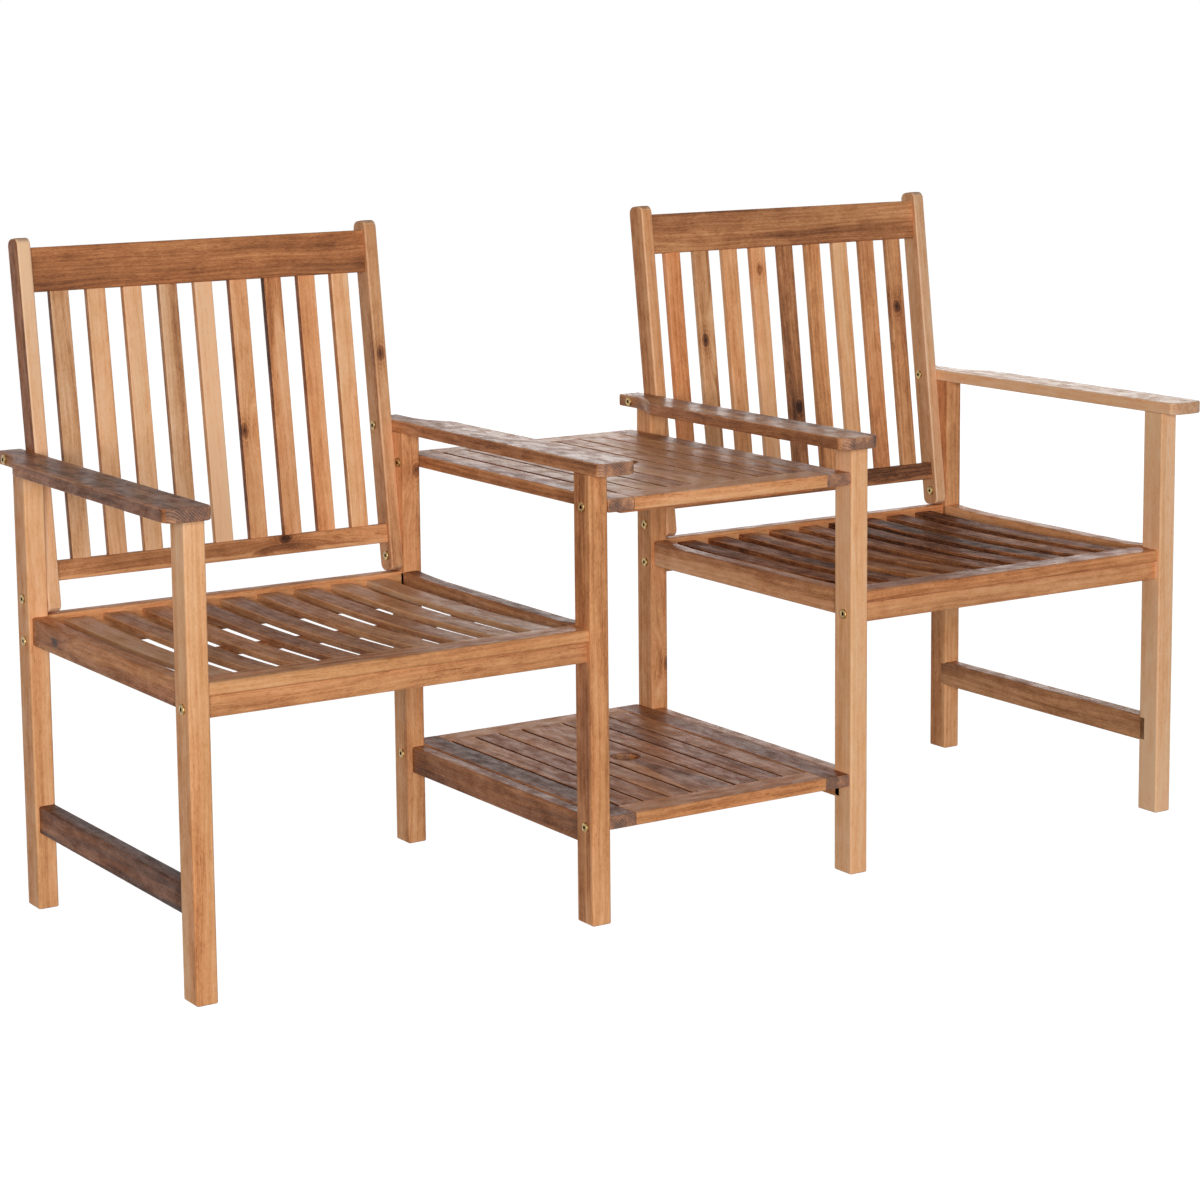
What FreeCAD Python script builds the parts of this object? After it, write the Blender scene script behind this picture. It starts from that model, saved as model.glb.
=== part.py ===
import FreeCAD, Part
import math
import os

# Companion seat bench: two armchairs and a slatted table with a lower shelf, in one straight line.
# Millimetres. X runs along the bench, the front faces -Y, Z is up.
# The origin is in the middle of the footprint, on the ground.

# Side frames
LEG_W = 30.0            # leg width along the bench
LEG_D = 40.0            # leg depth, front to back
FRAME_DEPTH = 550.0     # from the front of a front leg to the back of a back leg
SEAT_BAY = 565.0        # clear width between the legs of one chair
TABLE_BAY = 413.0       # clear width between the legs beside the table
LEG_H = 624.0           # floor to the underside of the armrest
LEG_EDGE = 2.0          # eased long edges of the legs
FOOT_EDGE = 1.5         # eased edge round the foot

# Armrests
ARM_T = 18.0
ARM_W = 64.0
ARM_FRONT = 26.0        # overhang in front of the front leg
ARM_TAIL = 39.0         # length of the tongue behind the back leg
TONGUE_W = 37.0
TONGUE_L = 83.0         # from the end of the step to the end of the armrest
ARM_STEP_RUN = 38.0     # length over which the wide part draws in
ARM_CORNER = 20.0       # outer front corner
ARM_INNER_CORNER = 12.0 # front corner on the leg's side
ARM_CURVE_OUT = 28.0    # outward curve of the step
ARM_CURVE_IN = 110.0    # long inward curve into the tongue
ARM_TAIL_CORNER = 4.0
ARM_EDGE = 2.5

# Side rails under the seat and the low stretchers
RAIL_TOP = 416.5
RAIL_H = 40.0
RAIL_SET_IN = 5.4       # the rail lies this far behind the outer face of the leg
RAIL_SCOOP = 4.0        # depth of the scooped top of a seat rail
SCOOP_BACK = 105.0      # length of its rise to the back leg
SCOOP_FRONT = 60.0      # length of its rise to the front leg
RAIL_EDGE = 2.0
STRETCHER_TOP = 148.0
STRETCHER_H = 39.5
INNER_STRETCHER_SET_IN = 8.0
TENON_L = 12.0
TENON_T = 10.0
TENON_SHOULDER = 6.0    # above and below the tenon
TENON_FIT = 0.2         # clearance round a tenon

# Seat
FRONT_BOARD_SET_IN = 4.0
FRONT_BOARD_D = 46.0
FRONT_BOARD_T = 18.0
FRONT_BOARD_TOP = 413.0
FRONT_BOARD_EDGE = 5.0
FRONT_APRON_BOTTOM = 367.0
APRON_T = 20.0
APRON_SET_IN = 9.5      # the apron lies this far behind the front of the front legs
BACK_RAIL_T = 22.0
BACK_RAIL_SET_IN = 9.0  # and the back rail this far before the back of the back legs
BACK_RAIL_TOP = 416.0
BACK_RAIL_BOTTOM = 363.0
SEAT_SLATS = 9
SEAT_SLAT_W = 35.0
SEAT_SLAT_T = 9.0
SEAT_SLAT_BACK = 408.5  # height of the slat tops at the back rail
SEAT_SLAT_DIP = 405.5   # and in the middle of the seat
SEAT_SLAT_FRONT = 411.5
SEAT_SLAT_EDGE = 1.5
SEAT_CURVE_STEPS = 4    # straight stretches that make the dip
SLAT_TENON_T = 5.0
SLAT_TENON_L = 10.0
SLAT_TENON_SIDE = 4.0
MID_BATTEN_Y = -13.0
MID_BATTEN_W = 20.0
MID_BATTEN_T = 10.5

# Backrests
BACK_SLOPE = 0.13       # backward lean, run over rise
POST_W = 20.0
POST_D = 36.0
POST_BOTTOM = 418.0
POST_TOP = 935.0
POST_ROUND = 11.0       # rounded corners at the post ends
POST_EDGE = 2.0
POST_BACK = 3.0         # the post's middle line passes this far behind its lower bolt
LOW_BOLT_Z = 441.0
ARM_BOLT_BACK = 4.0     # the bolt in the armrest passes this far behind the post's middle line
TOP_RAIL_TOP = 921.0
TOP_RAIL_H = 62.0
BOTTOM_RAIL_BOTTOM = 460.0
BOTTOM_RAIL_H = 28.0
BACK_RAIL_DEPTH = 20.0  # thickness of the two rails of the backrest
BACK_SLATS = 9
BACK_SLAT_W = 28.0
BACK_SLAT_T = 12.0
BACK_SLAT_EDGE = 1.5
BACK_SLAT_TENON = 9.0

# Table top and shelf
PANEL_T = 18.0
TABLE_DROP = 35.5       # the table top lies this far under the armrests
TABLE_BOLT_DROP = 9.0   # bolt centres below the top faces of table and shelf
SHELF_BOLT_DROP = 12.5
SHELF_TOP = 149.0
PANEL_GAP = 0.5         # clearance between a panel and the legs
TABLE_FRONT_SET_IN = 0.0
SHELF_FRONT_SET_IN = 2.0
TABLE_BACK_OUT = 9.0    # the table reaches this far behind the back legs
SHELF_BACK_OUT = 1.0
PANEL_FRONT_RAIL = 47.0
PANEL_BACK_RAIL = 41.0
PANEL_SLATS = 3         # slats on each side of the middle board
PANEL_SLAT_W = 38.0
PANEL_SLOT = 3.5
MIDDLE_BOARD_W = 70.0
PANEL_EDGE = 2.0
PANEL_SLAT_EDGE = 1.0
PANEL_TENON_L = 9.0
PANEL_TENON_T = 6.0
UMBRELLA_BORE = 43.0
UMBRELLA_EDGE = 1.5
CLEAT_T = 9.0
CLEAT_W = 30.0
CLEAT_LAP = 17.0        # how far a cleat reaches under the panel slats

# Fasteners
BOLT_D = 6.0
BOLT_HOLE = 6.4
HEAD_D = 14.0
HEAD_T = 2.6
HEAD_SIDES = 12         # flats round a head, and round the hidden shanks, nuts and bores
ROD_SIDES = 6
HEX_AF = 5.0
HEX_DEEP = 2.0
BOLT_FORWARD = 3.0      # bolts sit this far in front of the middle of a leg
TABLE_BOLT_FORWARD = 5.0  # the table's back bolts clear the posts of the backrest
RAIL_BOLT_Z = 381.5
RAIL_BOLT_REACH = 42.0  # bolt length past the leg
TABLE_BOLT_REACH = 30.0
BARREL_D = 10.0
BARREL_HOLE = 10.3
BARREL_L = 15.0
BARREL_BACK = 6.0       # bolt end past the barrel's middle
PANEL_BARREL_L = 14.0
SLEEVE_D = 8.5
SLEEVE_HOLE = 8.8
SLEEVE_L = 14.0

# Places worked out from the sizes above
HALF_DEPTH = FRAME_DEPTH / 2
FRONT_LEG_Y = -HALF_DEPTH
BACK_LEG_Y = HALF_DEPTH - LEG_D
FRONT_BOLT_Y = FRONT_LEG_Y + LEG_D / 2 - BOLT_FORWARD
BACK_BOLT_Y = BACK_LEG_Y + LEG_D / 2 - BOLT_FORWARD
POST_Y = BACK_BOLT_Y + POST_BACK
TABLE_FACE = TABLE_BAY / 2
TABLE_TOP = LEG_H - TABLE_DROP
ARM_BOLT_Z = LEG_H + ARM_T / 2
CHAIR_IN = TABLE_FACE + LEG_W
CHAIR_OUT = CHAIR_IN + SEAT_BAY
APRON_Y = FRONT_LEG_Y + APRON_SET_IN
SLAT_FRONT_Y = FRONT_LEG_Y + FRONT_BOARD_SET_IN + FRONT_BOARD_D
SLAT_BACK_Y = HALF_DEPTH - BACK_RAIL_SET_IN - BACK_RAIL_T
LEAN = math.degrees(math.atan(BACK_SLOPE))
X = FreeCAD.Vector(1, 0, 0)
Y = FreeCAD.Vector(0, 1, 0)
Z = FreeCAD.Vector(0, 0, 1)

parts = {}


def vec(x, y, z):
    return FreeCAD.Vector(x, y, z)


def block(x0, x1, y0, y1, z0, z1):
    """Box between two corners given in any order."""
    lo = vec(min(x0, x1), min(y0, y1), min(z0, z1))
    return Part.makeBox(abs(x1 - x0), abs(y1 - y0), abs(z1 - z0), lo)


def prism(start, direction, length, across, sides):
    """Bar with flat sides, as wide across opposite flats as the value given."""
    radius = across / 2 / math.cos(math.pi / sides)
    ring = [vec(radius * math.cos(math.pi * (2 * k + 1) / sides), radius * math.sin(math.pi * (2 * k + 1) / sides), 0)
            for k in range(sides)]
    bar = Part.Face(Part.makePolygon(ring + ring[:1])).extrude(Z * length)
    bar.Placement = FreeCAD.Placement(start, FreeCAD.Rotation(Z, direction))
    return bar


def rod(start, direction, length, diameter):
    """Hidden shank, nut or bore."""
    return prism(start, direction, length, diameter, ROD_SIDES)


def along(shape, axis):
    """Straight edges of a shape that run along an axis."""
    found = []
    for edge in shape.Edges:
        if edge.Curve.TypeId != "Part::GeomLine":
            continue
        way = edge.Vertexes[1].Point - edge.Vertexes[0].Point
        if way.normalize().cross(axis).Length < 1e-6:
            found.append(edge)
    return found


def ease(shape, axis, size):
    return shape.makeChamfer(size, along(shape, axis))


def level_edges(shape, z):
    """Edges that lie wholly at one height."""
    return [e for e in shape.Edges if abs(e.BoundBox.ZMin - z) < 1e-6 and abs(e.BoundBox.ZMax - z) < 1e-6]


def lean(shape):
    """Tip a backrest piece back about its lower bolt."""
    shape.rotate(vec(0, POST_Y, LOW_BOLT_Z), X, -LEAN)
    return shape


def post_height(z):
    """Distance along the post for a height above the ground."""
    return LOW_BOLT_Z + (z - LOW_BOLT_Z) / math.cos(math.radians(LEAN))


# Which way the seat lies from each side frame, and the seat-side face of its legs.
SIDES = {
    "left_outer": (-CHAIR_OUT, 1),
    "left_inner": (-CHAIR_IN, -1),
    "right_inner": (CHAIR_IN, 1),
    "right_outer": (CHAIR_OUT, -1),
}
TABLE_BOLT_Y = {"front": FRONT_BOLT_Y, "back": BACK_BOLT_Y - TABLE_BOLT_FORWARD}
SHELF_BOLT_Y = {"front": FRONT_BOLT_Y, "back": BACK_BOLT_Y}
ARM_BOLT_Y = POST_Y + (ARM_BOLT_Z - LOW_BOLT_Z) * BACK_SLOPE + ARM_BOLT_BACK
TABLE_BOLT_Z = TABLE_TOP - TABLE_BOLT_DROP
SHELF_BOLT_Z = SHELF_TOP - SHELF_BOLT_DROP


def tenon_zone(top, height, fit):
    return top - height + TENON_SHOULDER - fit, top - TENON_SHOULDER + fit


def scooped(y0, y1, x0, x1, top):
    """What the scoop takes off the top of a seat rail: flat in the middle and curving up to both legs."""
    def at(y, z):
        return vec(x0, y, z)
    low = top - RAIL_SCOOP
    front, back = y0 + SCOOP_FRONT, y1 - SCOOP_BACK
    rise_front = Part.Arc(at(y0, top), at(y0 + SCOOP_FRONT / 2, low + RAIL_SCOOP / 4), at(front, low)).toShape()
    rise_back = Part.Arc(at(back, low), at(y1 - SCOOP_BACK / 2, low + RAIL_SCOOP / 4), at(y1, top)).toShape()
    flat = Part.LineSegment(at(front, low), at(back, low)).toShape()
    lid = Part.makePolygon([at(y1, top), at(y1, top + 5), at(y0, top + 5), at(y0, top)])
    return Part.Face(Part.Wire([rise_front, flat, rise_back] + lid.Edges)).extrude(X * (x1 - x0))


def side_bar(x0, x1, top, height, scoop=False):
    """Bar between a front and a back leg, with a stub tenon at each end."""
    y0 = FRONT_LEG_Y + LEG_D
    bar = ease(block(x0, x1, y0, BACK_LEG_Y, top - height, top), Y, RAIL_EDGE)
    if scoop:
        bar = bar.cut(scooped(y0, BACK_LEG_Y, min(x0, x1), max(x0, x1), top))
    mid = (x0 + x1) / 2
    low, high = tenon_zone(top, height, 0.0)
    tenon = block(mid - TENON_T / 2, mid + TENON_T / 2, y0 - TENON_L, BACK_LEG_Y + TENON_L, low, high)
    return bar.fuse(tenon)


def mortise(x0, x1, top, height, y_face, inward):
    """Hollow in a leg for the tenon of a side bar."""
    mid = (x0 + x1) / 2
    half = TENON_T / 2 + TENON_FIT
    low, high = tenon_zone(top, height, TENON_FIT)
    return block(mid - half, mid + half, y_face, y_face + inward * (TENON_L + TENON_FIT), low, high)


def armrest(face, way):
    """Board with rounded front corners and a long curve down to a tongue behind the back leg."""
    front = FRONT_LEG_Y - ARM_FRONT
    tail = HALF_DEPTH + ARM_TAIL
    step = tail - TONGUE_L
    outline = [(0, front), (ARM_W, front), (ARM_W, step - ARM_STEP_RUN), (TONGUE_W, step),
               (TONGUE_W, tail), (0, tail)]
    points = [vec(face - way * u, v, LEG_H) for u, v in outline]
    board = Part.Face(Part.makePolygon(points + points[:1])).extrude(Z * ARM_T)
    sizes = [(0, ARM_INNER_CORNER), (1, ARM_CORNER), (2, ARM_CURVE_OUT), (3, ARM_CURVE_IN),
             (4, ARM_TAIL_CORNER), (5, ARM_TAIL_CORNER)]
    for number, radius in sizes:
        corner = points[number]
        edges = [e for e in along(board, Z) if abs(e.BoundBox.Center.x - corner.x) < 0.01
                 and abs(e.BoundBox.Center.y - corner.y) < 0.01]
        board = board.makeFillet(radius, edges)
    return board.makeChamfer(ARM_EDGE, level_edges(board, LEG_H + ARM_T))


def head(seat, outward):
    """Flat round bolt head standing on a face, with a six-sided socket."""
    disc = prism(seat, outward, HEAD_T, HEAD_D, HEAD_SIDES)
    return disc.cut(prism(seat + outward * HEAD_T, outward * -1, HEX_DEEP, HEX_AF, 6))


def bolt(seat, outward, reach):
    """Bolt with its head on a face and its shank going the other way."""
    shank = rod(seat, outward * -1, reach, BOLT_D)
    return head(seat, outward).fuse(shank)


def sleeve(seat, outward):
    """Sleeve nut: a head on the post with a short tube that takes the bolt end."""
    tube = rod(seat, outward * -1, SLEEVE_L, SLEEVE_D)
    hollow = rod(seat + outward * -4.0, outward * -1, SLEEVE_L, BOLT_HOLE)
    return head(seat, outward).fuse(tube).cut(hollow)


rail_bolts = []
back_bolts = []
panel_bolts = []
sleeve_nuts = []
barrel_nuts = []

# Side frames: two legs, the armrest, the seat rail and the low stretcher
for side, (face, way) in SIDES.items():
    outer = face - way * LEG_W
    inner_frame = side.endswith("inner")
    rail_x = (face, outer + way * RAIL_SET_IN)
    if inner_frame:
        stretcher_x = (face - way * INNER_STRETCHER_SET_IN, outer)
    else:
        stretcher_x = rail_x
    out = X * -way
    for end, y0 in (("front", FRONT_LEG_Y), ("back", BACK_LEG_Y)):
        leg = ease(block(face, outer, y0, y0 + LEG_D, 0, LEG_H), Z, LEG_EDGE)
        leg = leg.makeChamfer(FOOT_EDGE, level_edges(leg, 0))
        if end == "front":
            bolt_y, y_face, inward = FRONT_BOLT_Y, y0 + LEG_D, -1
        else:
            bolt_y, y_face, inward = BACK_BOLT_Y, y0, 1
        leg = leg.cut(mortise(rail_x[0], rail_x[1], RAIL_TOP, RAIL_H, y_face, inward))
        leg = leg.cut(mortise(stretcher_x[0], stretcher_x[1], STRETCHER_TOP, STRETCHER_H, y_face, inward))
        seat_bolt = vec(outer, bolt_y, RAIL_BOLT_Z)
        leg = leg.cut(rod(seat_bolt, out * -1, LEG_W, BOLT_HOLE))
        rail_bolts.append(bolt(seat_bolt, out, LEG_W + RAIL_BOLT_REACH))
        nut_x = face + way * (RAIL_BOLT_REACH - BARREL_BACK)
        if end == "front":
            nut = rod(vec(nut_x, APRON_Y + APRON_T, RAIL_BOLT_Z), Y * -1, BARREL_L, BARREL_D)
        else:
            nut = rod(vec(nut_x, SLAT_BACK_Y, RAIL_BOLT_Z), Y, BARREL_L, BARREL_D)
        barrel_nuts.append(nut.cut(rod(vec(face, bolt_y, RAIL_BOLT_Z), X * way, RAIL_BOLT_REACH + 1, BOLT_D)))
        if end == "back":
            low = vec(outer, BACK_BOLT_Y, LOW_BOLT_Z)
            leg = leg.cut(rod(low, out * -1, LEG_W, BOLT_HOLE))
            back_bolts.append(bolt(low, out, LEG_W + POST_W - 5))
        if inner_frame:
            for top, bolt_z, panel_y in ((TABLE_TOP, TABLE_BOLT_Z, TABLE_BOLT_Y[end]),
                                         (SHELF_TOP, SHELF_BOLT_Z, SHELF_BOLT_Y[end])):
                seat = vec(face, panel_y, bolt_z)
                leg = leg.cut(rod(seat, out, LEG_W, BOLT_HOLE))
                panel_bolts.append(bolt(seat, out * -1, LEG_W + TABLE_BOLT_REACH))
                nut_x = face - way * (LEG_W + TABLE_BOLT_REACH - BARREL_BACK)
                nut = rod(vec(nut_x, panel_y, top - PANEL_T), Z, PANEL_BARREL_L, BARREL_D)
                barrel_nuts.append(nut.cut(rod(seat, out, LEG_W + TABLE_BOLT_REACH + 1, BOLT_D)))
        parts[side + "_" + end + "_leg"] = leg

    arm = armrest(face, way)
    arm_bolt = vec(face - way * TONGUE_W, ARM_BOLT_Y, ARM_BOLT_Z)
    parts[side + "_armrest"] = arm.cut(rod(arm_bolt, out * -1, TONGUE_W, BOLT_HOLE))
    back_bolts.append(bolt(arm_bolt, out, TONGUE_W + POST_W - 5))
    parts[side + "_seat_side_rail"] = side_bar(rail_x[0], rail_x[1], RAIL_TOP, RAIL_H, scoop=True)
    parts[side + "_stretcher"] = side_bar(stretcher_x[0], stretcher_x[1], STRETCHER_TOP, STRETCHER_H)
    for y, z in ((BACK_BOLT_Y, LOW_BOLT_Z), (ARM_BOLT_Y, ARM_BOLT_Z)):
        sleeve_nuts.append(sleeve(vec(face + way * POST_W, y, z), X * way))


def slat_centres(start, end, count, width):
    """Middles of slats spread with equal gaps between two faces."""
    gap = (end - start - count * width) / (count + 1)
    return [start + gap * (k + 1) + width * (k + 0.5) for k in range(count)]


def end_bores(bar, x0, x1, y, z, nut_y, nut_way):
    """Bolt and barrel nut bores in both ends of a cross rail of the seat."""
    for face, way in ((x0, 1), (x1, -1)):
        bar = bar.cut(rod(vec(face, y, z), X * way, RAIL_BOLT_REACH + 1, BOLT_HOLE))
        nut_x = face + way * (RAIL_BOLT_REACH - BARREL_BACK)
        bar = bar.cut(rod(vec(nut_x, nut_y, z), Y * nut_way, BARREL_L + 0.5, BARREL_HOLE))
    return bar


BACK_TENON_Z = SEAT_SLAT_BACK - SEAT_SLAT_T / 2
FRONT_TENON_Z = SEAT_SLAT_FRONT - SEAT_SLAT_T / 2


def seat_tenon(middle, z, y0, y1, fit):
    half = SEAT_SLAT_W / 2 - SLAT_TENON_SIDE + fit
    thick = SLAT_TENON_T / 2 + fit
    return block(middle - half, middle + half, y0, y1, z - thick, z + thick)


def seat_height(y):
    """Height of the slat tops: a shallow dip between the front board and the back rail."""
    part = (y - SLAT_FRONT_Y) / (SLAT_BACK_Y - SLAT_FRONT_Y)
    chord = SEAT_SLAT_FRONT + (SEAT_SLAT_BACK - SEAT_SLAT_FRONT) * part
    sag = (SEAT_SLAT_FRONT + SEAT_SLAT_BACK) / 2 - SEAT_SLAT_DIP
    return chord - sag * 4 * part * (1 - part)


SEAT_STATIONS = [SLAT_FRONT_Y + (SLAT_BACK_Y - SLAT_FRONT_Y) * k / SEAT_CURVE_STEPS for k in range(SEAT_CURVE_STEPS + 1)]


def seat_slat(middle):
    """Slat with a shallow dip along its top and the same curve underneath."""
    sections = []
    for y in SEAT_STATIONS:
        top, half, edge = seat_height(y), SEAT_SLAT_W / 2, SEAT_SLAT_EDGE
        low = top - SEAT_SLAT_T
        ring = [vec(middle + x, y, z) for x, z in (
            (-half, low + edge), (-half, top - edge), (-half + edge, top), (half - edge, top), (half, top - edge),
            (half, low + edge), (half - edge, low), (-half + edge, low))]
        sections.append(Part.makePolygon(ring + ring[:1]))
    slat = Part.makeLoft(sections, True, True)
    back = seat_tenon(middle, BACK_TENON_Z, SLAT_BACK_Y - 1, SLAT_BACK_Y + SLAT_TENON_L, 0.0)
    front = seat_tenon(middle, FRONT_TENON_Z, SLAT_FRONT_Y + 1, SLAT_FRONT_Y - SLAT_TENON_L, 0.0)
    return slat.fuse([back, front]).removeSplitter()


# Chairs
for chair, x0, x1 in (("left_chair", -CHAIR_OUT, -CHAIR_IN), ("right_chair", CHAIR_IN, CHAIR_OUT)):
    board_y = FRONT_LEG_Y + FRONT_BOARD_SET_IN
    board = block(x0, x1, board_y, SLAT_FRONT_Y, FRONT_BOARD_TOP - FRONT_BOARD_T, FRONT_BOARD_TOP)
    nose = [e for e in along(board, X) if abs(e.BoundBox.Center.y - board_y) < 1e-6]
    board = board.makeFillet(FRONT_BOARD_EDGE, nose)
    apron = block(x0, x1, APRON_Y, APRON_Y + APRON_T, FRONT_APRON_BOTTOM, FRONT_BOARD_TOP - FRONT_BOARD_T)
    low = [e for e in along(apron, X) if abs(e.BoundBox.Center.z - FRONT_APRON_BOTTOM) < 1e-6]
    apron = apron.makeChamfer(RAIL_EDGE, low)
    parts[chair + "_front_apron"] = end_bores(apron, x0, x1, FRONT_BOLT_Y, RAIL_BOLT_Z, APRON_Y + APRON_T, -1)
    back = ease(block(x0, x1, SLAT_BACK_Y, SLAT_BACK_Y + BACK_RAIL_T, BACK_RAIL_BOTTOM, BACK_RAIL_TOP),
                X, RAIL_EDGE)
    back = end_bores(back, x0, x1, BACK_BOLT_Y, RAIL_BOLT_Z, SLAT_BACK_Y, 1)
    slats = []
    for middle in slat_centres(x0, x1, SEAT_SLATS, SEAT_SLAT_W):
        slats.append(seat_slat(middle))
        board = board.cut(seat_tenon(middle, FRONT_TENON_Z, SLAT_FRONT_Y, SLAT_FRONT_Y - SLAT_TENON_L - TENON_FIT,
                                     TENON_FIT))
        back = back.cut(seat_tenon(middle, BACK_TENON_Z, SLAT_BACK_Y, SLAT_BACK_Y + SLAT_TENON_L + TENON_FIT,
                                   TENON_FIT))
    parts[chair + "_front_board"] = board
    parts[chair + "_back_rail"] = back
    parts[chair + "_seat_slats"] = Part.makeCompound(slats)
    batten = block(x0, x1, MID_BATTEN_Y - MID_BATTEN_W / 2, MID_BATTEN_Y + MID_BATTEN_W / 2,
                   SEAT_SLAT_DIP - SEAT_SLAT_T - MID_BATTEN_T, SEAT_SLAT_DIP - SEAT_SLAT_T + 2)
    under = [vec(x0, y, seat_height(y) - SEAT_SLAT_T) for y in SEAT_STATIONS]
    lid = [vec(x0, SLAT_BACK_Y, RAIL_TOP), vec(x0, SLAT_FRONT_Y, RAIL_TOP)]
    room = Part.Face(Part.makePolygon(under + lid + under[:1])).extrude(X * (x1 - x0))
    parts[chair + "_seat_batten"] = batten.cut(room)

    # Backrest: two posts, two rails and upright slats, made upright and then leaned back
    bottom, top = post_height(POST_BOTTOM), post_height(POST_TOP)
    for side, a, b in (("left", x0, x0 + POST_W), ("right", x1 - POST_W, x1)):
        post = block(a, b, POST_Y - POST_D / 2, POST_Y + POST_D / 2, bottom, top)
        post = post.makeFillet(POST_ROUND, along(post, X))
        sides = [e for e in post.Edges if e.BoundBox.XLength < 1e-6]
        post = post.makeChamfer(POST_EDGE, sides)
        post = lean(post)
        for y, z in ((BACK_BOLT_Y, LOW_BOLT_Z), (ARM_BOLT_Y, ARM_BOLT_Z)):
            post = post.cut(rod(vec(a, y, z), X, POST_W, BOLT_HOLE))
            start, way = (vec(b, y, z), X * -1) if side == "left" else (vec(a, y, z), X)
            post = post.cut(rod(start, way, SLEEVE_L + 0.5, SLEEVE_HOLE))
        parts[chair + "_" + side + "_back_post"] = post
    rail_a, rail_b = x0 + POST_W, x1 - POST_W
    rail_y0, rail_y1 = POST_Y - BACK_RAIL_DEPTH / 2, POST_Y + BACK_RAIL_DEPTH / 2
    crown_z = post_height(TOP_RAIL_TOP)
    foot_z = post_height(BOTTOM_RAIL_BOTTOM)
    crown = ease(block(rail_a, rail_b, rail_y0, rail_y1, crown_z - TOP_RAIL_H, crown_z), X, RAIL_EDGE)
    foot = ease(block(rail_a, rail_b, rail_y0, rail_y1, foot_z, foot_z + BOTTOM_RAIL_H), X, RAIL_EDGE)
    slats = []
    low_z, high_z = foot_z + BOTTOM_RAIL_H, crown_z - TOP_RAIL_H
    for middle in slat_centres(rail_a, rail_b, BACK_SLATS, BACK_SLAT_W):
        def upright(extra, z0, z1):
            half, thick = BACK_SLAT_W / 2 + extra, BACK_SLAT_T / 2 + extra
            return block(middle - half, middle + half, POST_Y - thick, POST_Y + thick, z0, z1)
        slat = ease(upright(0, low_z - BACK_SLAT_TENON, high_z + BACK_SLAT_TENON), Z, BACK_SLAT_EDGE)
        slats.append(lean(slat))
        foot = foot.cut(upright(TENON_FIT, low_z - BACK_SLAT_TENON - TENON_FIT, low_z))
        crown = crown.cut(upright(TENON_FIT, high_z, high_z + BACK_SLAT_TENON + TENON_FIT))
    parts[chair + "_back_top_rail"] = lean(crown)
    parts[chair + "_back_bottom_rail"] = lean(foot)
    parts[chair + "_back_slats"] = Part.makeCompound(slats)


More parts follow.
